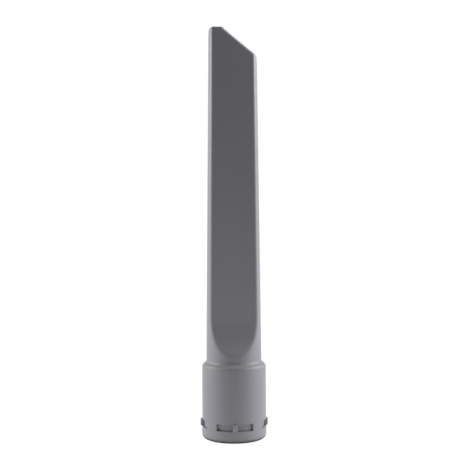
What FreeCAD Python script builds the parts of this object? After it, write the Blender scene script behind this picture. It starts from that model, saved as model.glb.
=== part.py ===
import FreeCAD, Part
import math
import os

# A one-piece moulded crevice nozzle. A round socket slips over the end of a vacuum wand, and above its
# shoulder a long slim cone with a flat front and back leads up to a mouth that is cut off at a slant.
# The origin is the centre of the socket's open end, +Z points to the tip and -Y is the front.

# Driving dimensions, in millimetres and degrees

# The whole nozzle
OVERALL_LENGTH = 255.0
WALL = 2.4
LEAST_LAND = 0.15  # the least level strip that is left beside a round

# Socket and collar
SOCKET_BORE_RADIUS = 17.5  # slips over a 35 mm wand
SOCKET_DEPTH = 43.0
SOCKET_WALL = 2.4
SOCKET_LEAD_IN = 0.4
STOP_LEDGE = 2.8  # how far the wand's stop stands in from the bore
STOP_THICKNESS = 3.7  # from the stop up to the shoulder
RIM_FLARE = 0.18  # how much larger the rim is than the collar, in radius
RIM_TUCK = 1.7  # how far the rim's round comes in at the foot
RIM_RISE = 2.6  # height from the foot at which the rim's round begins
SHOULDER_ROUND = 2.5
NECK_BEVEL = 0.15  # in the inner corner where the neck leaves the shoulder

# Recesses around the collar, each with a rib across its middle
RECESS_COUNT = 4
RECESS_GAP = 23.0  # angle of plain wall between two recesses
RECESS_BOTTOM = 7.4
RECESS_HEIGHT = 4.2
RECESS_DEPTH = 1.3
RIB_WIDTH = 2.7
RIB_PROUD = 1.15  # how far a rib stands out from the collar
RIB_ABOVE = 0.3  # how far a rib runs past the top of its recess
RIB_BELOW = 0.05  # how far a rib runs past the bottom of its recess
RIB_ROUND = 1.0

# Blade
SIDE_DRAFT = 0.585
FACE_DRAFT = 0.44
TIP_THICKNESS = 14.5
SCOOP_RADIUS = 35.5  # the hollow curve that carries each flat out to the round neck
SCOOP_FOOT_RISE = 6.45  # from the shoulder up to the lowest point of the scoop
CREASE_ROUND = 2.8  # where a flat meets a round side, on the outside
LEAST_CREASE = 0.6  # the least round in the same corners of the air channel

# Mouth
SLANT_ANGLE = 40.0
LAND_WIDTH = 8.3  # the level stretch of the mouth's edge, beside the slant
LAND_CORNER_ROUND = 1.5
LIP_ROUND = 1.8
LIP_INNER_ROUND = 0.4

# Derived values
ORIGIN = FreeCAD.Vector(0, 0, 0)
ACROSS = FreeCAD.Vector(0, 1, 0)
UP = FreeCAD.Vector(0, 0, 1)
OVERRUN = 10.0  # how far a cutting shape runs past what it cuts
NEAR = 1e-3  # how close two places are when they count as one
side_slope = math.tan(math.radians(SIDE_DRAFT))
face_slope = math.tan(math.radians(FACE_DRAFT))
slant_slope = math.tan(math.radians(SLANT_ANGLE))
collar_radius = SOCKET_BORE_RADIUS + SOCKET_WALL
rim_radius = collar_radius + RIM_FLARE
neck_radius = SOCKET_BORE_RADIUS - STOP_LEDGE + WALL
shoulder_height = SOCKET_DEPTH + STOP_THICKNESS
shoulder_step = collar_radius - neck_radius
rim_tuck = min(RIM_TUCK, SOCKET_WALL - SOCKET_LEAD_IN - LEAST_LAND)
shoulder_round = min(SHOULDER_ROUND, shoulder_step - NECK_BEVEL - LEAST_LAND)
rib_round = min(RIB_ROUND, (RIB_WIDTH - LEAST_LAND) / 2)
lip_inner_round = min(LIP_INNER_ROUND, (WALL - LEAST_LAND) / 2)
lip_round = min(LIP_ROUND, WALL - lip_inner_round - LEAST_LAND)
recess_floor_radius = collar_radius - RECESS_DEPTH
recess_top = RECESS_BOTTOM + RECESS_HEIGHT
recess_span = 360.0 / RECESS_COUNT - RECESS_GAP
reach = collar_radius + RIB_PROUD + OVERRUN
above_tip = OVERALL_LENGTH + OVERRUN


def cone_radius(height):
    """Outer radius of the neck and blade at a height."""
    return neck_radius - (height - shoulder_height) * side_slope


def channel_radius(height):
    """Radius of the air channel's round sides at a height."""
    return cone_radius(height) - WALL / math.cos(math.radians(SIDE_DRAFT))


def face_offset(height):
    """Distance of a flat from the nozzle's middle plane at a height."""
    return TIP_THICKNESS / 2 + (OVERALL_LENGTH - height) * face_slope


def turned(profile, closing_curve=None):
    """Solid turned about the Z axis from (radius, height) corners, closed by a curve or a straight edge."""
    corners = [FreeCAD.Vector(radius, 0, height) for radius, height in profile]
    closing_edge = closing_curve or Part.makeLine(corners[-1], corners[0])
    outline = Part.Wire(Part.makePolygon(corners).Edges + [closing_edge])
    return Part.Face(outline).revolve(ORIGIN, UP, 360)


def ring_edges(shape, radius, height):
    """Full-circle edges of a turned shape at one radius and height."""
    rings = [edge for edge in shape.Edges if isinstance(edge.Curve, Part.Circle)]
    return [
        edge
        for edge in rings
        if math.isclose(edge.Curve.Radius, radius, abs_tol=NEAR)
        and math.isclose(edge.Curve.Center.z, height, abs_tol=NEAR)
    ]


def rim_curve():
    """The arc that carries the rim's outside in to the foot, straight down where it begins."""
    radius = (rim_tuck**2 + RIM_RISE**2) / (2 * rim_tuck)
    full_turn = math.asin(RIM_RISE / radius)

    def on_rim(turn):
        inward = radius * (1 - math.cos(turn))
        return FreeCAD.Vector(rim_radius - inward, 0, RIM_RISE - radius * math.sin(turn))

    return Part.Arc(on_rim(full_turn), on_rim(full_turn / 2), on_rim(0)).toShape()


def turned_body():
    """Collar, shoulder and a plain round cone that runs past the tip, all solid."""
    body = turned(
        [
            (rim_radius, RIM_RISE),
            (rim_radius, RECESS_BOTTOM),
            (collar_radius, recess_top),
            (collar_radius, shoulder_height),
            (neck_radius + NECK_BEVEL, shoulder_height),
            (cone_radius(shoulder_height + NECK_BEVEL), shoulder_height + NECK_BEVEL),
            (cone_radius(above_tip), above_tip),
            (0, above_tip),
            (0, 0),
            (rim_radius - rim_tuck, 0),
        ],
        rim_curve(),
    )
    return body.makeFillet(shoulder_round, ring_edges(body, collar_radius, shoulder_height))


def turned_channel():
    """The hollow inside: the socket's bore, the wand's stop and a round cone past the tip."""
    mouth_radius = SOCKET_BORE_RADIUS + SOCKET_LEAD_IN
    return turned(
        [
            (0, -OVERRUN),
            (mouth_radius, -OVERRUN),
            (mouth_radius, 0),
            (SOCKET_BORE_RADIUS, SOCKET_LEAD_IN),
            (SOCKET_BORE_RADIUS, SOCKET_DEPTH),
            (channel_radius(SOCKET_DEPTH), SOCKET_DEPTH),
            (channel_radius(above_tip), above_tip),
            (0, above_tip),
        ]
    )


def flat_cutter(inset):
    """What is cut away behind the +Y flat and its scoop, for a skin that lies inset from the outside."""
    draft = math.radians(FACE_DRAFT)
    down = FreeCAD.Vector(0, math.sin(draft), -math.cos(draft))
    outward = FreeCAD.Vector(0, math.cos(draft), math.sin(draft))
    tip = FreeCAD.Vector(0, face_offset(OVERALL_LENGTH), OVERALL_LENGTH)
    foot_height = shoulder_height + SCOOP_FOOT_RISE
    foot = FreeCAD.Vector(0, cone_radius(foot_height), foot_height) - tip

    # The scoop is an arc that leaves the flat as a tangent and meets the neck at the foot
    rise = foot.dot(outward)
    run = math.sqrt(rise * (2 * SCOOP_RADIUS - rise))
    centre = tip + down * (foot.dot(down) - run) + outward * SCOOP_RADIUS
    full_turn = math.acos(1 - (rise + WALL) / SCOOP_RADIUS)

    def on_scoop(turn):
        radius = SCOOP_RADIUS + inset
        return centre - outward * (radius * math.cos(turn)) + down * (radius * math.sin(turn))

    scoop_top = on_scoop(0)
    scoop_end = on_scoop(full_turn)
    flat_top = scoop_top - down * ((above_tip + OVERRUN - scoop_top.z) / math.cos(draft))
    far_bottom = FreeCAD.Vector(0, reach, scoop_end.z)
    far_top = FreeCAD.Vector(0, reach, flat_top.z)
    scoop = Part.Arc(scoop_top, on_scoop(full_turn / 2), scoop_end).toShape()
    straight = Part.makePolygon([scoop_end, far_bottom, far_top, flat_top, scoop_top])
    profile = Part.Face(Part.Wire([scoop] + straight.Edges))
    cutter = profile.extrude(FreeCAD.Vector(2 * reach, 0, 0))
    cutter.translate(FreeCAD.Vector(-reach, 0, 0))
    return cutter


def with_flats(body, inset):
    """A turned shape given its front and back flats, with the creases beside them rounded."""
    back = flat_cutter(inset)
    front = back.mirror(ORIGIN, ACROSS)
    flattened = body.cut([front, back])
    creases = [edge for edge in flattened.Edges if not isinstance(edge.Curve, (Part.Line, Part.Circle))]
    return flattened.makeFillet(max(CREASE_ROUND - inset, LEAST_CREASE), creases)


def mouth_cutter():
    """What is cut away above the mouth: level on the left and falling to the right."""
    land_end = LAND_WIDTH - cone_radius(OVERALL_LENGTH)
    slant_end = OVERALL_LENGTH - (reach - land_end) * slant_slope
    corners = [
        FreeCAD.Vector(-reach, -reach, OVERALL_LENGTH),
        FreeCAD.Vector(land_end, -reach, OVERALL_LENGTH),
        FreeCAD.Vector(reach, -reach, slant_end),
        FreeCAD.Vector(reach, -reach, above_tip + OVERRUN),
        FreeCAD.Vector(-reach, -reach, above_tip + OVERRUN),
    ]
    cutter = Part.Face(Part.makePolygon(corners + corners[:1])).extrude(ACROSS * (2 * reach))
    corner = FreeCAD.Vector(land_end, 0, OVERALL_LENGTH)
    corner_edges = [edge for edge in cutter.Edges if edge.CenterOfMass.isEqual(corner, NEAR)]
    return cutter.makeFillet(LAND_CORNER_ROUND, corner_edges)


def mouth_edges(shape):
    """Edges round the level and slanted faces at the mouth, each on the outline of that group of faces."""
    blade_middle = (shoulder_height + OVERALL_LENGTH) / 2
    faces = [face for face in shape.Faces if face.BoundBox.ZMin > blade_middle]
    edges = [edge for face in faces for edge in face.Edges]
    return [edge for edge in edges if sum(edge.isSame(other) for other in edges) == 1]


def lies_on(edge, solid):
    """Whether the middle of an edge is on a solid's surface."""
    middle = edge.valueAt((edge.FirstParameter + edge.LastParameter) / 2)
    return solid.isInside(middle, NEAR, True)


def nozzle_shell():
    """The nozzle's outside less its air channel, with both edges of the mouth's lip rounded."""
    outside = with_flats(turned_body(), 0).cut(mouth_cutter())
    outside = outside.makeFillet(lip_round, mouth_edges(outside))
    channel = with_flats(turned_channel(), WALL)
    shell = outside.cut(channel)
    inner_edges = [edge for edge in mouth_edges(shell) if lies_on(edge, channel)]
    return shell.makeFillet(lip_inner_round, inner_edges)


def recess():
    """The shallow recess at the front of the collar, as the solid to cut away."""
    corners = [
        FreeCAD.Vector(recess_floor_radius, 0, RECESS_BOTTOM),
        FreeCAD.Vector(reach, 0, RECESS_BOTTOM),
        FreeCAD.Vector(reach, 0, recess_top),
        FreeCAD.Vector(recess_floor_radius, 0, recess_top),
    ]
    sector = Part.Face(Part.makePolygon(corners + corners[:1])).revolve(ORIGIN, UP, recess_span)
    sector.rotate(ORIGIN, UP, -90 - recess_span / 2)
    return sector


def rib():
    """The rounded rib across the front recess, rooted halfway into the wall behind it."""
    root_radius = (SOCKET_BORE_RADIUS + recess_floor_radius) / 2
    crest_radius = collar_radius + RIB_PROUD
    corner = FreeCAD.Vector(-RIB_WIDTH / 2, -crest_radius, RECESS_BOTTOM - RIB_BELOW)
    height = RIB_BELOW + RECESS_HEIGHT + RIB_ABOVE
    block = Part.makeBox(RIB_WIDTH, crest_radius - root_radius, height, corner)
    crest_edges = [edge for edge in block.Edges if edge.BoundBox.YMax < NEAR - crest_radius]
    return block.makeFillet(rib_round, crest_edges)


def around_collar(feature):
    """Copies of a front feature, spaced evenly round the collar."""
    copies = []
    for place in range(RECESS_COUNT):
        copy = feature.copy()
        copy.rotate(ORIGIN, UP, place * 360.0 / RECESS_COUNT)
        copies.append(copy)
    return copies


def crevice_nozzle():
    """The whole moulding as one solid, with the mould's parting line as an edge along both sides."""
    recessed = nozzle_shell().cut(around_collar(recess()))
    ribbed = recessed.fuse(around_collar(rib())).removeSplitter()
    corner = FreeCAD.Vector(-reach, -reach, -OVERRUN)
    front_side = Part.makeBox(2 * reach, reach, above_tip + 2 * OVERRUN, corner)
    front = ribbed.common(front_side)
    back = ribbed.cut(front_side)
    return front.fuse(back).Solids[0]


os.makedirs("parts", exist_ok=True)
crevice_nozzle().exportStep("parts/crevice_nozzle.step")
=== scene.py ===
import logging
import math
from dataclasses import dataclass
from enum import Enum

import bmesh
import bpy
from mathutils import Matrix, Vector


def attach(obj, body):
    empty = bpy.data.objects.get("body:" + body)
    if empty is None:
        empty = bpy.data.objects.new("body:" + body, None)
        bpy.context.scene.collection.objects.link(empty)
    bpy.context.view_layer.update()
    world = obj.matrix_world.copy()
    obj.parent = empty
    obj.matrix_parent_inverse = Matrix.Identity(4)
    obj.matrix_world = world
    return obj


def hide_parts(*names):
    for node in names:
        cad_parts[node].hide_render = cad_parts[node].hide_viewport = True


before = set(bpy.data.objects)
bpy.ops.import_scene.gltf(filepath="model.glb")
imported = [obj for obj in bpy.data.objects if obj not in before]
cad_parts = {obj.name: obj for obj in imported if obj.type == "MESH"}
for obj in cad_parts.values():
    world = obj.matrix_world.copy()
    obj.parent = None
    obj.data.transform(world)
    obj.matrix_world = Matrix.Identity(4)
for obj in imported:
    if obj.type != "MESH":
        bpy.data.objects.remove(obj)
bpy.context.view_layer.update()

# A moulded vacuum crevice nozzle that stands on its socket in a white studio.
# Sizes are in millimetres unless a name says otherwise, and MM turns them into the scene's metres.
# The frame's +Z runs from the socket up to the tip, -Y is the front and the mouth falls towards +X.

MM = 0.001
BODY = "root"
NODE = "crevice_nozzle"
QUARTER_TURN = 90.0
MATH = "ShaderNodeMath"
VECTOR_MATH = "ShaderNodeVectorMath"
ATTRIBUTE = "GeometryNodeInputNamedAttribute"
# Multiplied with a place, it keeps X and Y and drops the height
LEVEL = (1.0, 1.0, 0.0)
DOWN = (0.0, 0.0, -1.0)

log = logging.getLogger(NODE)


class Side(Enum):
    """The two narrow sides of the nozzle, as the sign of X."""

    LEFT = -1
    RIGHT = 1


def linear(hex_colour: str) -> tuple[float, float, float, float]:
    """Turn an sRGB hex colour into linear light.

    Args:
        hex_colour: Six hex digits after a hash sign.

    Returns:
        Red, green, blue and an alpha of one.
    """
    shares = [int(hex_colour[place : place + 2], 16) / 255 for place in (1, 3, 5)]
    light = [share / 12.92 if share <= 0.04045 else ((share + 0.055) / 1.055) ** 2.4 for share in shares]
    return light[0], light[1], light[2], 1.0


def add_node(
    tree: bpy.types.NodeTree, kind: str, settings: dict | None = None, links: dict | None = None
) -> bpy.types.Node:
    """Add one node to a tree.

    Args:
        tree: The tree that gets the node.
        kind: Blender's name for the kind of node.
        settings: Values for the node's own properties.
        links: For an input's name or number, a node, an output socket or a plain value to feed it.

    Returns:
        The new node.
    """
    node = tree.nodes.new(kind)
    for name, value in (settings or {}).items():
        setattr(node, name, value)
    for place, source in (links or {}).items():
        if isinstance(source, bpy.types.Node):
            tree.links.new(source.outputs[0], node.inputs[place])
        elif isinstance(source, bpy.types.NodeSocket):
            tree.links.new(source, node.inputs[place])
        else:
            node.inputs[place].default_value = source
    return node


def away_from_axis(
    tree: bpy.types.NodeTree, place: bpy.types.Node
) -> tuple[bpy.types.Node, bpy.types.Node]:
    """Work out which way each point of a shape lies from the nozzle's axis.

    Args:
        tree: The shape's tree.
        place: The node that gives the points' places.

    Returns:
        The node that gives the level offset from the axis, and the one that gives its direction.
    """
    offset = add_node(tree, VECTOR_MATH, {"operation": "MULTIPLY"}, {0: place, 1: LEVEL})
    return offset, add_node(tree, VECTOR_MATH, {"operation": "NORMALIZE"}, {0: offset})


def blank_material(name: str) -> tuple[bpy.types.Material, bpy.types.NodeTree]:
    """Start a material from an empty tree.

    Args:
        name: The material's name.

    Returns:
        The material and its tree.
    """
    material = bpy.data.materials.new(name)
    material.use_nodes = True
    material.node_tree.nodes.clear()
    return material, material.node_tree


def new_object(name: str, data: bpy.types.ID) -> bpy.types.Object:
    """Put a mesh, a light or a camera into the scene.

    Args:
        name: The object's name.
        data: The mesh, light or camera that it holds.

    Returns:
        The new object, at the origin.
    """
    item = bpy.data.objects.new(name, data)
    bpy.context.scene.collection.objects.link(item)
    return item


def new_rule(name: str, sizes: dict[str, str]) -> tuple[bpy.types.NodeTree, bpy.types.Node]:
    """Start a Geometry Nodes tree with named inputs.

    Args:
        name: The tree's name.
        sizes: The name of each input, with its socket type.

    Returns:
        The tree and its input node.
    """
    tree = bpy.data.node_groups.new(name, "GeometryNodeTree")
    sockets = {"Shape": "NodeSocketGeometry", **sizes, "Finish": "NodeSocketMaterial"}
    for label, socket_type in sockets.items():
        tree.interface.new_socket(label, in_out="INPUT", socket_type=socket_type)
    tree.interface.new_socket("Shape", in_out="OUTPUT", socket_type="NodeSocketGeometry")
    return tree, add_node(tree, "NodeGroupInput")


def end_rule(
    tree: bpy.types.NodeTree, given: bpy.types.Node, shape: bpy.types.Node, crisp_angle: float
) -> None:
    """Finish a tree: smooth faces with crisp corners, real geometry and the piece's finish.

    Args:
        tree: The tree to finish.
        given: The tree's input node.
        shape: The node whose geometry is the finished shape.
        crisp_angle: Angle in degrees above which an edge stays crisp.
    """
    smooth = add_node(tree, "GeometryNodeSetShadeSmooth", {"domain": "FACE"}, {"Geometry": shape})
    bend = add_node(tree, "GeometryNodeInputMeshEdgeAngle")
    limit = math.radians(crisp_angle)
    corner = add_node(tree, MATH, {"operation": "GREATER_THAN"}, {0: bend, 1: limit})
    crisp = add_node(
        tree,
        "GeometryNodeSetShadeSmooth",
        {"domain": "EDGE"},
        {"Geometry": smooth, "Selection": corner, "Shade Smooth": False},
    )
    real = add_node(tree, "GeometryNodeRealizeInstances", links={"Geometry": crisp})
    dressed = add_node(
        tree, "GeometryNodeSetMaterial", links={"Geometry": real, "Material": given.outputs["Finish"]}
    )
    add_node(tree, "NodeGroupOutput", links={"Shape": dressed})


def grown(
    name: str, start: bpy.types.Mesh, tree: bpy.types.NodeTree, values: dict[str, object]
) -> bpy.types.Object:
    """Run a Geometry Nodes tree on a mesh and keep the result as a plain piece.

    Args:
        name: The new piece's name.
        start: The mesh that the tree starts from.
        tree: The tree to run.
        values: The value of each of the tree's named inputs.

    Returns:
        The piece, with no modifier left on it.
    """
    piece = new_object(name, start)
    modifier = piece.modifiers.new(tree.name, "NODES")
    modifier.node_group = tree
    for socket in tree.interface.items_tree:
        if socket.in_out == "INPUT" and socket.name in values:
            modifier[socket.identifier] = values[socket.name]
    evaluated = piece.evaluated_get(bpy.context.evaluated_depsgraph_get())
    mesh = bpy.data.meshes.new_from_object(evaluated)
    piece.modifiers.remove(modifier)
    piece.data = mesh
    mesh.name = name
    return piece


def evenly(start: float, end: float, gap: float) -> list[float]:
    """Evenly spaced values from a start up to, but not including, an end.

    Args:
        start: First value.
        end: Value that the row stops short of.
        gap: Largest step between two values.

    Returns:
        The values in order.
    """
    count = max(1, math.ceil(abs(end - start) / gap))
    return [start + (end - start) * place / count for place in range(count)]


@dataclass(frozen=True)
class MouldedAbs:
    """Grey ABS, injection moulded against a fine spark-eroded steel face.

    The steel leaves an even satin skin: soft broad highlights, no mirror image, a faint grain close up,
    and a colour that clouds very slightly where the pigment mixed unevenly.
    """

    name: str = "moulded_satin_grey_abs"
    colour: str = "#85838a"
    pale_colour: str = "#8a888e"
    roughness: float = 0.5
    roughness_spread: float = 0.06
    index_of_refraction: float = 1.54
    cloud_size: float = 22.0
    cloud_detail: float = 3.0
    # Spark-eroded grain is about 0.1 mm across, too fine to show, so it is drawn six times as coarse
    grain_size: float = 0.6
    grain_detail: float = 1.0
    grain_depth: float = 0.012

    def material(self) -> bpy.types.Material:
        """Mix the finish.

        Returns:
            The finish as a Blender material.
        """
        material, tree = blank_material(self.name)
        place = add_node(tree, "ShaderNodeTexCoord").outputs["Object"]
        cloud = add_node(
            tree,
            "ShaderNodeTexNoise",
            links={"Vector": place, "Scale": 1 / (self.cloud_size * MM), "Detail": self.cloud_detail},
        )
        grain = add_node(
            tree,
            "ShaderNodeTexNoise",
            links={"Vector": place, "Scale": 1 / (self.grain_size * MM), "Detail": self.grain_detail},
        )
        colour = add_node(
            tree,
            "ShaderNodeMix",
            {"data_type": "RGBA"},
            {0: cloud, 6: linear(self.colour), 7: linear(self.pale_colour)},
        )
        smoothest = self.roughness - self.roughness_spread
        roughest = self.roughness + self.roughness_spread
        roughness = add_node(tree, "ShaderNodeMapRange", links={0: cloud, 3: smoothest, 4: roughest})
        depth = self.grain_depth * MM
        bump = add_node(tree, "ShaderNodeBump", links={"Height": grain, "Strength": 1.0, "Distance": depth})
        skin = add_node(
            tree,
            "ShaderNodeBsdfPrincipled",
            links={
                "Base Color": colour.outputs[2],
                "Roughness": roughness,
                "Normal": bump,
                "IOR": self.index_of_refraction,
            },
        )
        add_node(tree, "ShaderNodeOutputMaterial", links={"Surface": skin})
        return material


@dataclass(frozen=True)
class WhitePaper:
    """Matt white studio paper, lit so evenly that it shows no grain and hardly any shadow."""

    name: str = "white_studio_paper"
    # The paper's own glow makes it white, and on a dark base lights and shadows hardly show
    colour: str = "#303030"
    glow_colour: str = "#ffffff"
    glow: float = 1.0

    def material(self) -> bpy.types.Material:
        """Mix the finish.

        Returns:
            The finish as a Blender material.
        """
        material, tree = blank_material(self.name)
        paper = add_node(tree, "ShaderNodeBsdfDiffuse", links={"Color": linear(self.colour)})
        light = add_node(
            tree, "ShaderNodeEmission", links={"Color": linear(self.glow_colour), "Strength": self.glow}
        )
        both = add_node(tree, "ShaderNodeAddShader", links={0: paper, 1: light})
        add_node(tree, "ShaderNodeOutputMaterial", links={"Surface": both})
        return material


@dataclass(frozen=True)
class PaintedShadeCard:
    """Matt black card for painted shade, which gives back so little light that it only takes glow away."""

    name: str = "painted_shade_card"
    colour: str = "#060606"

    def material(self) -> bpy.types.Material:
        """Mix the finish.

        Returns:
            The finish as a Blender material.
        """
        material, tree = blank_material(self.name)
        card = add_node(tree, "ShaderNodeBsdfDiffuse", links={"Color": linear(self.colour)})
        add_node(tree, "ShaderNodeOutputMaterial", links={"Surface": card})
        return material


@dataclass(frozen=True)
class Row:
    """One ring of the shell: its place, its inset in the wall, and its share of a recess and the lip."""

    radius: float
    height: float
    inset: float = 0.0
    recess: float = 0.0
    lip_in: float = 0.0
    lip_drop: float = 0.0


@dataclass
class NozzleShell:
    """The moulding: socket, collar, shoulder, neck, flat-sided blade and slanted mouth in one skin."""

    length: float = 255.0
    wall: float = 2.4
    bore_radius: float = 17.5
    socket_depth: float = 43.0
    lead_in: float = 0.4
    stop_ledge: float = 2.8
    stop_thickness: float = 3.7
    stop_round: float = 0.3
    collar_radius: float = 19.9
    rim_radius: float = 20.08
    rim_tuck: float = 1.7
    rim_rise: float = 2.6
    shoulder_round: float = 2.8
    # The hollow round at the neck's foot, where the solid has only a fine bevel
    neck_round: float = 2.8
    recess_count: int = 4
    recess_gap: float = 23.0
    recess_bottom: float = 7.4
    recess_top: float = 11.6
    recess_depth: float = 1.3
    recess_edge: float = 0.12
    recess_guard: float = 0.3
    side_draft: float = 0.585
    face_draft: float = 0.44
    tip_thickness: float = 14.5
    scoop_radius: float = 35.5
    scoop_foot_rise: float = 6.45
    crease_round: float = 2.8
    least_crease: float = 0.6
    slant_angle: float = 40.0
    land_width: float = 8.3
    # Blending the level and slanted parts over this width rounds their corner to about 1.5 mm
    land_blend: float = 0.73
    lip_round: float = 1.8
    lip_inner_round: float = 0.4
    # The rings tilt step by step towards the slanted mouth over this depth below the tip
    mouth_depth: float = 33.0
    columns: int = 360
    # Angle in degrees above which an edge stays crisp
    crisp_angle: float = 40.0
    # Share of a recess's depth that the wall has at the recess's upper and lower edge
    recess_brow: float = 0.1
    # Largest gap between the rings of each stretch, from the socket round to the rim
    bore_gap: float = 9.0
    neck_gap: float = 1.2
    foot_gap: float = 0.25
    scoop_gap: float = 0.9
    blade_gap: float = 8.0
    mouth_gap: float = 2.5
    collar_gap: float = 6.0
    recess_row_gap: float = 1.5
    rim_gap: float = 2.0
    # Largest turn in degrees between the rings of each round
    stop_step: float = 30.0
    lip_inner_step: float = 22.5
    lip_step: float = 10.0
    shoulder_step: float = 7.5
    rim_step: float = 6.0

    @property
    def shoulder(self) -> float:
        """Height of the shoulder, where the neck begins."""
        return self.socket_depth + self.stop_thickness

    @property
    def shoulder_turn(self) -> float:
        """Steepest lean of the shoulder in radians, where its hollow round meets its full one."""
        step = self.collar_radius - self.cone_radius(self.shoulder)
        return math.acos(1 - step / (self.neck_round + self.shoulder_round))

    @property
    def neck_foot(self) -> float:
        """Height at which the neck begins to run out into the shoulder."""
        collar_top = self.shoulder - self.shoulder_round
        return collar_top + (self.neck_round + self.shoulder_round) * math.sin(self.shoulder_turn)

    @property
    def land_end(self) -> float:
        """X at which the level part of the mouth's edge ends and the slant begins."""
        return self.land_width - self.cone_radius(self.length)

    @property
    def mouth_start(self) -> float:
        """Height from which the rings begin to tilt towards the slanted mouth."""
        return self.length - self.mouth_depth

    def cone_radius(self, height: float) -> float:
        """Outer radius of the round neck and blade sides at a height."""
        neck_radius = self.bore_radius - self.stop_ledge + self.wall
        return neck_radius - (height - self.shoulder) * math.tan(math.radians(self.side_draft))

    def scoop_centre(self) -> tuple[float, float]:
        """Find the arc that carries a flat out to the round neck.

        Returns:
            The arc centre's distance from the middle plane, and its height.
        """
        draft = math.radians(self.face_draft)
        foot_height = self.shoulder + self.scoop_foot_rise
        out = self.cone_radius(foot_height) - self.tip_thickness / 2
        down = self.length - foot_height
        rise = out * math.cos(draft) - down * math.sin(draft)
        run = math.sqrt(rise * (2 * self.scoop_radius - rise))
        along = out * math.sin(draft) + down * math.cos(draft) - run
        offset = self.tip_thickness / 2 + along * math.sin(draft) + self.scoop_radius * math.cos(draft)
        height = self.length - along * math.cos(draft) + self.scoop_radius * math.sin(draft)
        return offset, height

    def blade_heights(self) -> list[float]:
        """Space the rings along the neck and blade, closest where the scoop meets the neck.

        Returns:
            The rings' heights, from the neck's foot up to the lip's round.
        """
        foot = self.shoulder + self.scoop_foot_rise
        below_foot = foot - self.crease_round
        above_foot = foot + self.crease_round
        scoop_top = self.scoop_centre()[1]
        heights = evenly(self.neck_foot, below_foot, self.neck_gap)
        heights += evenly(below_foot, above_foot, self.foot_gap)
        heights += evenly(above_foot, scoop_top, self.scoop_gap)
        heights += evenly(scoop_top, self.mouth_start, self.blade_gap)
        return heights + evenly(self.mouth_start, self.length - self.lip_round, self.mouth_gap)

    def inside_rows(self) -> list[Row]:
        """Lay out the rings up the socket's bore, over the wand's stop and up the air channel.

        Returns:
            The rings in order.
        """
        stop_radius = self.cone_radius(self.socket_depth) - self.wall
        bore_heights = evenly(self.lead_in, self.socket_depth, self.bore_gap) + [self.socket_depth]
        rows = [Row(self.bore_radius + self.lead_in, 0.0)]
        rows += [Row(self.bore_radius, height) for height in bore_heights]
        for turn in evenly(0.0, QUARTER_TURN, self.stop_step):
            lean = math.radians(turn)
            radius = stop_radius + self.stop_round * (1 - math.sin(lean))
            rows.append(Row(radius, self.socket_depth + self.stop_round * (1 - math.cos(lean))))
        for height in [self.socket_depth + self.stop_round] + self.blade_heights():
            rows.append(Row(self.cone_radius(height) - self.wall, height, self.wall))
        return rows

    def lip_rows(self) -> list[Row]:
        """Lay out the rings over the rounded lip of the mouth, from the channel to the outside.

        Returns:
            The rings in order.
        """
        rows = []
        for turn in evenly(0.0, QUARTER_TURN, self.lip_inner_step) + [QUARTER_TURN]:
            lean = math.radians(turn)
            inset = self.wall - self.lip_inner_round * (1 - math.cos(lean))
            height = self.length - self.lip_inner_round * (1 - math.sin(lean))
            rows.append(Row(self.cone_radius(height) - inset, height, inset))
        tip_radius = self.cone_radius(self.length)
        for turn in evenly(QUARTER_TURN, 0.0, self.lip_step) + [0.0]:
            lean = math.radians(turn)
            lip_in = self.lip_round * (1 - math.cos(lean))
            lip_drop = self.lip_round * (1 - math.sin(lean))
            rows.append(Row(tip_radius, self.length, lip_in=lip_in, lip_drop=lip_drop))
        return rows

    def blade_rows(self) -> list[Row]:
        """Lay out the rings down the blade and neck, and out along the hollow round at the neck's foot.

        Returns:
            The rings in order.
        """
        rows = [Row(self.cone_radius(height), height) for height in reversed(self.blade_heights())]
        for lean in evenly(0.0, self.shoulder_turn, math.radians(self.shoulder_step))[1:]:
            height = self.neck_foot - self.neck_round * math.sin(lean)
            rows.append(Row(self.cone_radius(height) + self.neck_round * (1 - math.cos(lean)), height))
        return rows

    def collar_rows(self) -> list[Row]:
        """Lay out the rings round the shoulder and down the collar to the rim that it stands on.

        Returns:
            The rings in order.
        """
        rows = []
        for lean in evenly(self.shoulder_turn, 0.0, math.radians(self.shoulder_step)) + [0.0]:
            radius = self.collar_radius - self.shoulder_round * (1 - math.cos(lean))
            rows.append(Row(radius, self.shoulder - self.shoulder_round * (1 - math.sin(lean))))
        above_recess = self.recess_top + self.recess_edge
        below_recess = self.recess_bottom - self.recess_edge
        collar_top = self.shoulder - self.shoulder_round
        guard_top = above_recess + self.recess_guard
        guard_bottom = below_recess - self.recess_guard
        collar_heights = evenly(collar_top, guard_top, self.collar_gap)[1:] + [guard_top, above_recess]
        rows += [Row(self.collar_radius, height) for height in collar_heights]
        rows.append(Row(self.collar_radius, self.recess_top, recess=self.recess_brow))
        flare = (self.rim_radius - self.collar_radius) / (self.recess_top - self.recess_bottom)
        floor_top = self.recess_top - self.recess_edge / 2
        floor_bottom = self.recess_bottom + self.recess_edge / 2
        for height in evenly(floor_top, floor_bottom, self.recess_row_gap) + [floor_bottom]:
            radius = self.collar_radius + flare * (self.recess_top - height)
            rows.append(Row(radius, height, recess=1.0))
        rows.append(Row(self.rim_radius, self.recess_bottom, recess=self.recess_brow))
        rim_heights = [below_recess] + evenly(guard_bottom, self.rim_rise, self.rim_gap)
        rows += [Row(self.rim_radius, height) for height in rim_heights]
        rim_curve = (self.rim_tuck**2 + self.rim_rise**2) / (2 * self.rim_tuck)
        full_turn = math.asin(self.rim_rise / rim_curve)
        for lean in evenly(0.0, full_turn, math.radians(self.rim_step)) + [full_turn]:
            radius = self.rim_radius - rim_curve * (1 - math.cos(lean))
            rows.append(Row(radius, self.rim_rise - rim_curve * math.sin(lean)))
        return rows

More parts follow.
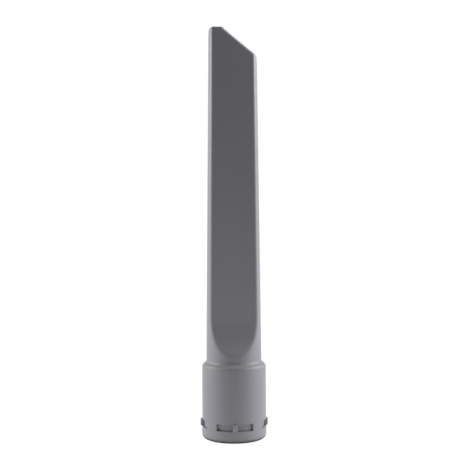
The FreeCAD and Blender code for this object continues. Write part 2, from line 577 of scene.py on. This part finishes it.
    def outline(self) -> bpy.types.Mesh:
        """The closed outline of the wall as a ring of edges, laid out for a sweep round the axis.

        Returns:
            The outline, with each point's inset, recess and lip as attributes.
        """
        rows = self.inside_rows() + self.lip_rows() + self.blade_rows() + self.collar_rows()
        points = [((row.radius - self.bore_radius) * MM, -row.height * MM, 0.0) for row in rows]
        edges = [(place, (place + 1) % len(rows)) for place in range(len(rows))]
        mesh = bpy.data.meshes.new("nozzle_outline")
        mesh.from_pydata(points, edges, [])
        for name in ("inset", "recess", "lip_in", "lip_drop"):
            attribute = mesh.attributes.new(name, "FLOAT", "POINT")
            attribute.data.foreach_set("value", [getattr(row, name) for row in rows])
        return mesh

    def sink_recesses(
        self, tree: bpy.types.NodeTree, given: bpy.types.Node, shape: bpy.types.Node
    ) -> bpy.types.Node:
        """Press the recesses into the collar.

        Args:
            tree: The shell's tree.
            given: The tree's input node.
            shape: The node that gives the turned shell.

        Returns:
            The node that gives the recessed shell.
        """
        place = add_node(tree, "GeometryNodeInputPosition")
        part = add_node(tree, "ShaderNodeSeparateXYZ", links={0: place})
        depth = add_node(tree, ATTRIBUTE, {"data_type": "FLOAT"}, {"Name": "recess"})
        turn = add_node(tree, MATH, {"operation": "ARCTAN2"}, {0: part.outputs["Y"], 1: part.outputs["X"]})
        forward = add_node(tree, MATH, {"operation": "ADD"}, {0: turn, 1: math.tau})
        count = given.outputs["Recess Count"]
        half_pitch = add_node(tree, MATH, {"operation": "DIVIDE"}, {0: math.pi, 1: count})
        from_middle = add_node(tree, MATH, {"operation": "PINGPONG"}, {0: forward, 1: half_pitch})
        half_span = given.outputs["Recess Half Span"]
        within = add_node(tree, MATH, {"operation": "LESS_THAN"}, {0: from_middle, 1: half_span})
        share = add_node(tree, MATH, {"operation": "MULTIPLY"}, {0: depth, 1: within})
        offset, direction = away_from_axis(tree, place)
        radius = add_node(tree, VECTOR_MATH, {"operation": "LENGTH"}, {0: offset}).outputs["Value"]
        floor = given.outputs["Recess Floor Radius"]
        drop = add_node(tree, MATH, {"operation": "SUBTRACT"}, {0: floor, 1: radius})
        sunk = add_node(tree, MATH, {"operation": "MULTIPLY"}, {0: drop, 1: share})
        move = add_node(tree, VECTOR_MATH, {"operation": "SCALE"}, {0: direction, "Scale": sunk})
        return add_node(tree, "GeometryNodeSetPosition", links={"Geometry": shape, "Offset": move})

    def round_lip(
        self, tree: bpy.types.NodeTree, given: bpy.types.Node, shape: bpy.types.Node
    ) -> bpy.types.Node:
        """Bring the lip's outer round in and down, by as much as the corner there needs.

        The corner between the wall and the mouth is square along the level part, blunt where the slant
        ends at the right and tilted along the front and back, and a round of one radius reaches
        differently far on each.

        Args:
            tree: The shell's tree.
            given: The tree's input node.
            shape: The node that gives the shell with a level, sharp mouth.

        Returns:
            The node that gives the shell with its lip rounded, ready to be slanted.
        """
        place = add_node(tree, "GeometryNodeInputPosition")
        part = add_node(tree, "ShaderNodeSeparateXYZ", links={0: place})
        lip_in, lip_drop, inset = [
            add_node(tree, ATTRIBUTE, {"data_type": "FLOAT"}, {"Name": name})
            for name in ("lip_in", "lip_drop", "inset")
        ]
        direction = away_from_axis(tree, place)[1]
        facing_right = add_node(tree, "ShaderNodeSeparateXYZ", links={0: direction}).outputs["X"]
        from_middle = add_node(tree, MATH, {"operation": "ABSOLUTE"}, {0: part.outputs["Y"]})
        flat_start = given.outputs["Lip Flat Start"]
        flat_end = given.outputs["Lip Flat End"]
        off_flat = add_node(
            tree,
            "ShaderNodeMapRange",
            {"interpolation_type": "SMOOTHSTEP"},
            {0: from_middle, 1: flat_start, 2: flat_end, 3: 1.0, 4: 0.0},
        )
        facing = add_node(tree, MATH, {"operation": "MULTIPLY"}, {0: facing_right, 1: off_flat})
        slant_start = given.outputs["Lip Slant Start"]
        slant_end = given.outputs["Lip Slant End"]
        on_slant = add_node(
            tree, "ShaderNodeMapRange", links={0: part.outputs["X"], 1: slant_start, 2: slant_end}
        )
        slant_sine = given.outputs["Slant Sine"]
        lean = add_node(tree, MATH, {"operation": "MULTIPLY"}, {0: on_slant, 1: slant_sine})
        blunting = add_node(tree, MATH, {"operation": "MULTIPLY"}, {0: facing, 1: lean})
        reach = add_node(tree, MATH, {"operation": "SUBTRACT"}, {0: 1.0, 1: blunting})
        most = given.outputs["Slant Stretch"]
        stretch = add_node(tree, "ShaderNodeMapRange", links={0: on_slant, 3: 1.0, 4: most})
        move_in = add_node(tree, MATH, {"operation": "MULTIPLY"}, {0: lip_in, 1: reach})
        new_inset = add_node(tree, MATH, {"operation": "ADD"}, {0: inset, 1: move_in})
        noted = add_node(
            tree,
            "GeometryNodeStoreNamedAttribute",
            {"data_type": "FLOAT", "domain": "POINT"},
            {"Geometry": shape, "Name": "inset", "Value": new_inset},
        )
        drop = add_node(tree, MATH, {"operation": "MULTIPLY"}, {0: lip_drop, 1: reach})
        drop_along_slant = add_node(tree, MATH, {"operation": "MULTIPLY"}, {0: drop, 1: stretch})
        inward = add_node(tree, MATH, {"operation": "MULTIPLY"}, {0: move_in, 1: -MM})
        downward = add_node(tree, MATH, {"operation": "MULTIPLY"}, {0: drop_along_slant, 1: -MM})
        sideways = add_node(tree, VECTOR_MATH, {"operation": "SCALE"}, {0: direction, "Scale": inward})
        fall = add_node(tree, "ShaderNodeCombineXYZ", links={"Z": downward})
        move = add_node(tree, VECTOR_MATH, {"operation": "ADD"}, {0: sideways, 1: fall})
        return add_node(tree, "GeometryNodeSetPosition", links={"Geometry": noted, "Offset": move})

    def slant_mouth(
        self, tree: bpy.types.NodeTree, given: bpy.types.Node, shape: bpy.types.Node
    ) -> bpy.types.Node:
        """Lower the mouth's edge along its slant, sliding the wall below it down the cone.

        Args:
            tree: The shell's tree.
            given: The tree's input node.
            shape: The node that gives the shell with a level mouth.

        Returns:
            The node that gives the shell with its slanted mouth.
        """
        place = add_node(tree, "GeometryNodeInputPosition")
        part = add_node(tree, "ShaderNodeSeparateXYZ", links={0: place})
        share = add_node(
            tree,
            "ShaderNodeMapRange",
            links={0: part.outputs["Z"], 1: given.outputs["Mouth Start"], 2: given.outputs["Lip Foot"]},
        )
        land_end = given.outputs["Land End"]
        past_land = add_node(tree, MATH, {"operation": "SUBTRACT"}, {0: part.outputs["X"], 1: land_end})
        blend = given.outputs["Land Blend"]
        ramp = add_node(tree, MATH, {"operation": "SMOOTH_MAX"}, {0: past_land, 1: 0.0, 2: blend})
        slope = given.outputs["Slant Slope"]
        fall = add_node(tree, MATH, {"operation": "MULTIPLY"}, {0: ramp, 1: slope})
        lowered = add_node(tree, MATH, {"operation": "MULTIPLY"}, {0: fall, 1: share})
        taper = given.outputs["Side Slope"]
        widening = add_node(tree, MATH, {"operation": "MULTIPLY"}, {0: lowered, 1: taper})
        direction = away_from_axis(tree, place)[1]
        spread = add_node(tree, VECTOR_MATH, {"operation": "SCALE"}, {0: direction, "Scale": widening})
        drop = add_node(tree, VECTOR_MATH, {"operation": "SCALE"}, {0: DOWN, "Scale": lowered})
        move = add_node(tree, VECTOR_MATH, {"operation": "ADD"}, {0: spread, 1: drop})
        return add_node(tree, "GeometryNodeSetPosition", links={"Geometry": shape, "Offset": move})

    def press_flats(
        self, tree: bpy.types.NodeTree, given: bpy.types.Node, shape: bpy.types.Node
    ) -> bpy.types.Node:
        """Press the round blade in to its front and back flats and their scoops, with soft creases.

        Args:
            tree: The shell's tree.
            given: The tree's input node.
            shape: The node that gives the round shell.

        Returns:
            The node that gives the flat-sided shell.
        """
        place = add_node(tree, "GeometryNodeInputPosition")
        part = add_node(tree, "ShaderNodeSeparateXYZ", links={0: place})
        height = part.outputs["Z"]
        inset_mm = add_node(tree, ATTRIBUTE, {"data_type": "FLOAT"}, {"Name": "inset"})
        inset = add_node(tree, MATH, {"operation": "MULTIPLY"}, {0: inset_mm, 1: MM})

        # How far the flat stands from the middle plane
        length = given.outputs["Length"]
        below_tip = add_node(tree, MATH, {"operation": "SUBTRACT"}, {0: length, 1: height})
        flat_outside = add_node(
            tree,
            MATH,
            {"operation": "MULTIPLY_ADD"},
            {0: below_tip, 1: given.outputs["Face Slope"], 2: given.outputs["Tip Half Thickness"]},
        )
        flat = add_node(tree, MATH, {"operation": "SUBTRACT"}, {0: flat_outside, 1: inset})

        # How far the scoop's arc stands from it
        centre_height = given.outputs["Scoop Centre Height"]
        below_centre = add_node(tree, MATH, {"operation": "SUBTRACT"}, {0: height, 1: centre_height})
        depth_squared = add_node(tree, MATH, {"operation": "POWER"}, {0: below_centre, 1: 2.0})
        scoop_radius = given.outputs["Scoop Radius"]
        reach = add_node(tree, MATH, {"operation": "ADD"}, {0: scoop_radius, 1: inset})
        reach_squared = add_node(tree, MATH, {"operation": "POWER"}, {0: reach, 1: 2.0})
        across_squared = add_node(
            tree, MATH, {"operation": "SUBTRACT"}, {0: reach_squared, 1: depth_squared}
        )
        within_arc = add_node(tree, MATH, {"operation": "MAXIMUM"}, {0: across_squared, 1: 0.0})
        across = add_node(tree, MATH, {"operation": "SQRT"}, {0: within_arc})
        centre_offset = given.outputs["Scoop Centre Offset"]
        scoop = add_node(tree, MATH, {"operation": "SUBTRACT"}, {0: centre_offset, 1: across})

        # Whichever of the two holds at this height meets the round side in a soft crease
        scoop_top = given.outputs["Scoop Top"]
        in_scoop = add_node(tree, MATH, {"operation": "LESS_THAN"}, {0: height, 1: scoop_top})
        limit = add_node(tree, "ShaderNodeMix", {"data_type": "FLOAT"}, {0: in_scoop, 2: flat, 3: scoop})
        from_middle = add_node(tree, MATH, {"operation": "ABSOLUTE"}, {0: part.outputs["Y"]})
        outer_crease = given.outputs["Crease"]
        inner_crease = add_node(tree, MATH, {"operation": "SUBTRACT"}, {0: outer_crease, 1: inset})
        least_crease = given.outputs["Least Crease"]
        crease = add_node(tree, MATH, {"operation": "MAXIMUM"}, {0: inner_crease, 1: least_crease})
        pressed = add_node(tree, MATH, {"operation": "SMOOTH_MIN"}, {0: from_middle, 1: limit, 2: crease})
        front_or_back = add_node(tree, MATH, {"operation": "SIGN"}, {0: part.outputs["Y"]})
        across_blade = add_node(tree, MATH, {"operation": "MULTIPLY"}, {0: pressed, 1: front_or_back})
        target = add_node(
            tree,
            "ShaderNodeCombineXYZ",
            links={"X": part.outputs["X"], "Y": across_blade, "Z": height},
        )
        return add_node(tree, "GeometryNodeSetPosition", links={"Geometry": shape, "Position": target})

    def sizes(self) -> dict[str, float]:
        """Work out the sizes that the shell's rule takes.

        Returns:
            The value of each of the rule's inputs: counts, slopes, lengths in metres and angles in radians.
        """
        centre_offset, centre_height = self.scoop_centre()
        scoop_top = centre_height - self.scoop_radius * math.sin(math.radians(self.face_draft))
        half_span = 2 * QUARTER_TURN / self.recess_count - self.recess_gap / 2
        half_tip = self.tip_thickness / 2
        slant = math.radians(self.slant_angle)
        return {
            "Columns": self.columns,
            "Recess Count": self.recess_count,
            "Hoop Radius": self.bore_radius * MM,
            "Recess Half Span": math.radians(half_span),
            "Recess Floor Radius": (self.collar_radius - self.recess_depth) * MM,
            "Mouth Start": self.mouth_start * MM,
            "Lip Foot": (self.length - 2 * self.lip_round) * MM,
            "Lip Flat Start": (half_tip - self.crease_round / 2) * MM,
            "Lip Flat End": (half_tip + self.crease_round / 2) * MM,
            "Lip Slant Start": (self.land_end - self.land_blend) * MM,
            "Lip Slant End": (self.land_end + self.land_blend) * MM,
            "Land End": self.land_end * MM,
            "Land Blend": self.land_blend * MM,
            "Slant Slope": math.tan(slant),
            "Slant Sine": math.sin(slant),
            "Slant Stretch": 1 / math.cos(slant),
            "Side Slope": math.tan(math.radians(self.side_draft)),
            "Length": self.length * MM,
            "Face Slope": math.tan(math.radians(self.face_draft)),
            "Tip Half Thickness": half_tip * MM,
            "Scoop Radius": self.scoop_radius * MM,
            "Scoop Centre Offset": centre_offset * MM,
            "Scoop Centre Height": centre_height * MM,
            "Scoop Top": scoop_top * MM,
            "Crease": self.crease_round * MM,
            "Least Crease": self.least_crease * MM,
        }

    def rule(self) -> bpy.types.NodeTree:
        """Write the shell's rule: turn the outline, sink recesses, round and slant the mouth, press flats.

        Returns:
            The rule as a Geometry Nodes tree.
        """
        sockets = {
            name: "NodeSocketInt" if isinstance(size, int) else "NodeSocketFloat"
            for name, size in self.sizes().items()
        }
        tree, given = new_rule("nozzle_shell_rule", sockets)
        outline = add_node(tree, "GeometryNodeMeshToCurve", links={"Mesh": given.outputs["Shape"]})
        hoop = add_node(
            tree,
            "GeometryNodeCurvePrimitiveCircle",
            links={"Resolution": given.outputs["Columns"], "Radius": given.outputs["Hoop Radius"]},
        )
        turned = add_node(tree, "GeometryNodeCurveToMesh", links={"Curve": hoop, "Profile Curve": outline})
        recessed = self.sink_recesses(tree, given, turned)
        lipped = self.round_lip(tree, given, recessed)
        slanted = self.slant_mouth(tree, given, lipped)
        flattened = self.press_flats(tree, given, slanted)
        end_rule(tree, given, flattened, self.crisp_angle)
        return tree

    def build(self, finish: bpy.types.Material) -> bpy.types.Object:
        """Make the shell.

        Args:
            finish: The plastic that it is moulded in.

        Returns:
            The shell as a plain mesh piece.
        """
        values = {**self.sizes(), "Finish": finish}
        return grown("nozzle_shell", self.outline(), self.rule(), values)


@dataclass
class CollarRibs:
    """The short rounded ribs that stand across the middle of the collar's recesses."""

    count: int = 4
    width: float = 2.7
    root_radius: float = 18.05
    crest_radius: float = 21.05
    bottom: float = 7.35
    top: float = 11.9
    crest_round: float = 1.0
    round_steps: int = 6
    crisp_angle: float = 40.0

    def block(self) -> bpy.types.Mesh:
        """Shape one rib on the +X side of the collar, with its crest rounded.

        Returns:
            The rib's mesh.
        """
        solid = bmesh.new()
        depth = self.crest_radius - self.root_radius
        height = self.top - self.bottom
        middle = Vector(((self.root_radius + self.crest_radius) / 2, 0.0, (self.bottom + self.top) / 2))
        stretch = Matrix.Diagonal((depth * MM, self.width * MM, height * MM, 1.0))
        bmesh.ops.create_cube(solid, size=1.0, matrix=Matrix.Translation(middle * MM) @ stretch)
        crest = [edge for edge in solid.edges if all(vert.co.x > middle.x * MM for vert in edge.verts)]
        bmesh.ops.bevel(
            solid,
            geom=crest,
            offset=self.crest_round * MM,
            segments=self.round_steps,
            profile=0.5,
            affect="EDGES",
        )
        bmesh.ops.recalc_face_normals(solid, faces=solid.faces)
        mesh = bpy.data.meshes.new("collar_rib")
        solid.to_mesh(mesh)
        solid.free()
        return mesh

    def rule(self) -> bpy.types.NodeTree:
        """Write the rule that sets copies of the rib evenly round the collar.

        Returns:
            The rule as a Geometry Nodes tree.
        """
        tree, given = new_rule("collar_ribs_rule", {"Count": "NodeSocketInt"})
        count = given.outputs["Count"]
        points = add_node(tree, "GeometryNodePoints", links={"Count": count})
        pitch = add_node(tree, MATH, {"operation": "DIVIDE"}, {0: math.tau, 1: count})
        number = add_node(tree, "GeometryNodeInputIndex")
        turn = add_node(tree, MATH, {"operation": "MULTIPLY"}, {0: number, 1: pitch})
        facing = add_node(tree, "ShaderNodeCombineXYZ", links={"Z": turn})
        copies = add_node(
            tree,
            "GeometryNodeInstanceOnPoints",
            links={"Points": points, "Instance": given.outputs["Shape"], "Rotation": facing},
        )
        whole = add_node(tree, "GeometryNodeRealizeInstances", links={"Geometry": copies})
        end_rule(tree, given, whole, self.crisp_angle)
        return tree

    def build(self, finish: bpy.types.Material) -> bpy.types.Object:
        """Make the ribs.

        Args:
            finish: The plastic that they are moulded in.

        Returns:
            All the ribs as one plain mesh piece.
        """
        return grown("collar_ribs", self.block(), self.rule(), {"Count": self.count, "Finish": finish})


@dataclass
class PartingLines:
    """The fine raised line that the halves of the mould leave along each narrow side of the blade."""

    shell: NozzleShell
    bead_radius: float = 0.2
    bead_proud: float = 0.09
    bead_facets: int = 12
    crisp_angle: float = 60.0

    def ends(self, side: Side) -> tuple[Vector, Vector]:
        """Where the line starts and stops on one side.

        Args:
            side: The narrow side that it runs along.

        Returns:
            Its lowest and highest point, in metres.
        """
        shell = self.shell
        bottom = shell.neck_foot
        top = shell.length - 2 * shell.lip_round
        if side is Side.RIGHT:
            top -= (shell.cone_radius(top) - shell.land_end) * math.tan(math.radians(shell.slant_angle))
        sunk = self.bead_radius - self.bead_proud
        points = []
        for z in (bottom, top):
            points.append(Vector((side.value * (shell.cone_radius(z) - sunk), 0.0, z)) * MM)
        return points[0], points[1]

    def rule(self) -> bpy.types.NodeTree:
        """Write the rule that runs a fine round bead from one point to another.

        Returns:
            The rule as a Geometry Nodes tree.
        """
        sockets = {
            "Bottom": "NodeSocketVector",
            "Top": "NodeSocketVector",
            "Bead Radius": "NodeSocketFloat",
            "Bead Facets": "NodeSocketInt",
        }
        tree, given = new_rule("parting_line_rule", sockets)
        path = add_node(
            tree,
            "GeometryNodeCurvePrimitiveLine",
            links={"Start": given.outputs["Bottom"], "End": given.outputs["Top"]},
        )
        section = add_node(
            tree,
            "GeometryNodeCurvePrimitiveCircle",
            links={"Resolution": given.outputs["Bead Facets"], "Radius": given.outputs["Bead Radius"]},
        )
        sweep = {"Curve": path, "Profile Curve": section, "Fill Caps": True}
        bead = add_node(tree, "GeometryNodeCurveToMesh", links=sweep)
        end_rule(tree, given, bead, self.crisp_angle)
        return tree

    def build(self, finish: bpy.types.Material) -> list[bpy.types.Object]:
        """Make the line on both sides.

        Args:
            finish: The plastic that it is moulded in.

        Returns:
            One plain mesh piece for each side.
        """
        tree = self.rule()
        pieces = []
        for side in Side:
            name = f"parting_line_{side.name.lower()}"
            bottom, top = self.ends(side)
            values = {
                "Bottom": bottom,
                "Top": top,
                "Bead Radius": self.bead_radius * MM,
                "Bead Facets": self.bead_facets,
                "Finish": finish,
            }
            pieces.append(grown(name, bpy.data.meshes.new(name), tree, values))
        return pieces


@dataclass(frozen=True)
class Softbox:
    """One soft rectangular studio light, out of the camera's sight."""

    name: str
    place: tuple[float, float, float]
    target: tuple[float, float, float]
    size: tuple[float, float]
    watts: float

    def build(self) -> None:
        """Hang the light so that it faces its target."""
        light = bpy.data.lights.new(self.name, "AREA")
        light.shape = "RECTANGLE"
        light.size = self.size[0] * MM
        light.size_y = self.size[1] * MM
        light.energy = self.watts
        lamp = new_object(self.name, light)
        lamp.location = Vector(self.place) * MM
        aim = Vector(self.target) - Vector(self.place)
        lamp.rotation_euler = aim.to_track_quat("-Z", "Y").to_euler()
        lamp.visible_camera = False


@dataclass
class Studio:
    """A white paper sweep in a dim room, with two soft lights on each side and a faint one over the tip."""

    floor_front: float = 320.0
    floor_back: float = 900.0
    half_width: float = 1100.0
    sweep_radius: float = 300.0
    # Largest turn in degrees between two rows of the sweep
    sweep_step: float = 6.0
    wall_height: float = 1300.0
    # The ring under the foot is painted shade: hidden from the camera, it darkens the rim's underside
    card_inner_radius: float = 18.7
    card_outer_radius: float = 21.6
    card_lift: float = 0.02
    card_facets: int = 96
    room: str = "#444445"
    backdrop: str = "#ffffff"
    softboxes: tuple[Softbox, ...] = (
        Softbox("large_softbox_left", (-600.0, 75.0, 260.0), (0.0, 75.0, 260.0), (700.0, 1000.0), 3.7),
        Softbox("large_softbox_right", (600.0, 10.0, 340.0), (0.0, 10.0, 260.0), (700.0, 1000.0), 3.9),
        Softbox("small_softbox_left", (-600.0, 110.0, 390.0), (0.0, 0.0, 50.0), (300.0, 300.0), 2.4),
        Softbox("small_softbox_right", (600.0, 60.0, 410.0), (0.0, 0.0, 50.0), (300.0, 300.0), 3.1),
        Softbox("tip_softbox", (35.0, 0.0, 290.0), (4.0, 0.0, 247.0), (40.0, 40.0), 0.027),
    )

    def paper(self, finish: bpy.types.Material) -> None:
        """Lay the paper, which isn't part of the nozzle: a floor that curves up into a back wall.

        Args:
            finish: The paper's material.
        """
        line = [(-self.floor_front, 0.0)]
        for turn in evenly(0.0, QUARTER_TURN, self.sweep_step) + [QUARTER_TURN]:
            lean = math.radians(turn)
            out = self.floor_back + self.sweep_radius * math.sin(lean)
            line.append((out, self.sweep_radius * (1 - math.cos(lean))))
        line.append((self.floor_back + self.sweep_radius, self.wall_height))
        points = []
        for y, z in line:
            points.append((-self.half_width * MM, y * MM, z * MM))
            points.append((self.half_width * MM, y * MM, z * MM))
        faces = [(2 * n, 2 * n + 1, 2 * n + 3, 2 * n + 2) for n in range(len(line) - 1)]
        mesh = bpy.data.meshes.new("paper_sweep")
        mesh.from_pydata(points, [], faces)
        mesh.shade_smooth()
        mesh.materials.append(finish)
        sheet = new_object("paper_sweep", mesh)

    def painted_shade_ring(self, finish: bpy.types.Material) -> None:
        """Lay a dark ring, unseen by the camera, round the nozzle's foot: painted shade that keeps the
        paper's glow off the rim.

        Args:
            finish: The card's material.
        """
        ring = bmesh.new()
        corners = []
        for step in range(self.card_facets):
            turn = math.tau * step / self.card_facets
            for radius in (self.card_inner_radius, self.card_outer_radius):
                point = Vector((radius * math.cos(turn), radius * math.sin(turn), self.card_lift)) * MM
                corners.append(ring.verts.new(point))
        for inner in range(0, len(corners), 2):
            after = (inner + 2) % len(corners)
            ring.faces.new((corners[inner], corners[inner + 1], corners[after + 1], corners[after]))
        mesh = bpy.data.meshes.new("painted_shade_ring")
        ring.to_mesh(mesh)
        ring.free()
        mesh.materials.append(finish)
        card = new_object("painted_shade_ring", mesh)
        card.visible_camera = False

    def surroundings(self) -> bpy.types.World:
        """Make the dim room round the paper, which looks as white as the paper where the paper ends.

        Returns:
            The room as a Blender world.
        """
        world = bpy.data.worlds.new("dim_room")
        world.use_nodes = True
        tree = world.node_tree
        tree.nodes.clear()
        dim = add_node(tree, "ShaderNodeBackground", links={"Color": linear(self.room)})
        white = add_node(tree, "ShaderNodeBackground", links={"Color": linear(self.backdrop)})
        seen = add_node(tree, "ShaderNodeLightPath").outputs["Is Camera Ray"]
        both = add_node(tree, "ShaderNodeMixShader", links={0: seen, 1: dim, 2: white})
        add_node(tree, "ShaderNodeOutputWorld", links={"Surface": both})
        return world

    def build(self) -> None:
        """Set up the paper, the lights, the dim room and plain colour handling."""
        self.paper(WhitePaper().material())
        # Painted shade: a dark ring that the camera can't see darkens the rim's underside
        self.painted_shade_ring(PaintedShadeCard().material())
        for softbox in self.softboxes:
            softbox.build()
        scene = bpy.context.scene
        scene.world = self.surroundings()
        scene.view_settings.view_transform = "Standard"
        scene.view_settings.look = "None"


@dataclass
class PhotoCamera:
    """A level camera in front of the nozzle, a little to its left."""

    distance: float = 513.0
    height: float = 126.0
    turn: float = 1.5
    aim_right: float = 0.114
    roll: float = 0.27
    focal_length: float = 62.8
    sensor_width: float = 36.0

    def build(self) -> bpy.types.Object:
        """Set the camera up and make it the scene's own.

        Returns:
            The camera.
        """
        data = bpy.data.cameras.new("photo_camera")
        data.lens = self.focal_length
        data.sensor_width = self.sensor_width
        camera = new_object("photo_camera", data)
        turn = math.radians(self.turn)
        place = Vector((-self.distance * math.sin(turn), -self.distance * math.cos(turn), self.height))
        camera.location = place * MM
        upright = Matrix.Rotation(math.radians(QUARTER_TURN), 4, "X")
        level = Matrix.Rotation(-turn - math.radians(self.aim_right), 4, "Z") @ upright
        rolled = level @ Matrix.Rotation(-math.radians(self.roll), 4, "Z")
        camera.rotation_euler = rolled.to_euler()
        bpy.context.scene.camera = camera
        return camera


def main() -> None:
    """Build the nozzle, its studio and its camera, and report each piece."""
    logging.basicConfig(level=logging.INFO, format="%(message)s")
    plastic = MouldedAbs().material()

    shell = NozzleShell()
    shell_piece = shell.build(plastic)
    pieces = [shell_piece, CollarRibs().build(plastic)]
    pieces += PartingLines(shell).build(plastic)
    for piece in pieces:
        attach(piece, BODY)
        log.info("piece %s: %d faces", piece.name, len(piece.data.polygons))
    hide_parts(NODE)

    Studio().build()
    camera = PhotoCamera().build()
    log.info("camera at %s", [round(value, 4) for value in camera.location])


if __name__ == "__main__":
    main()
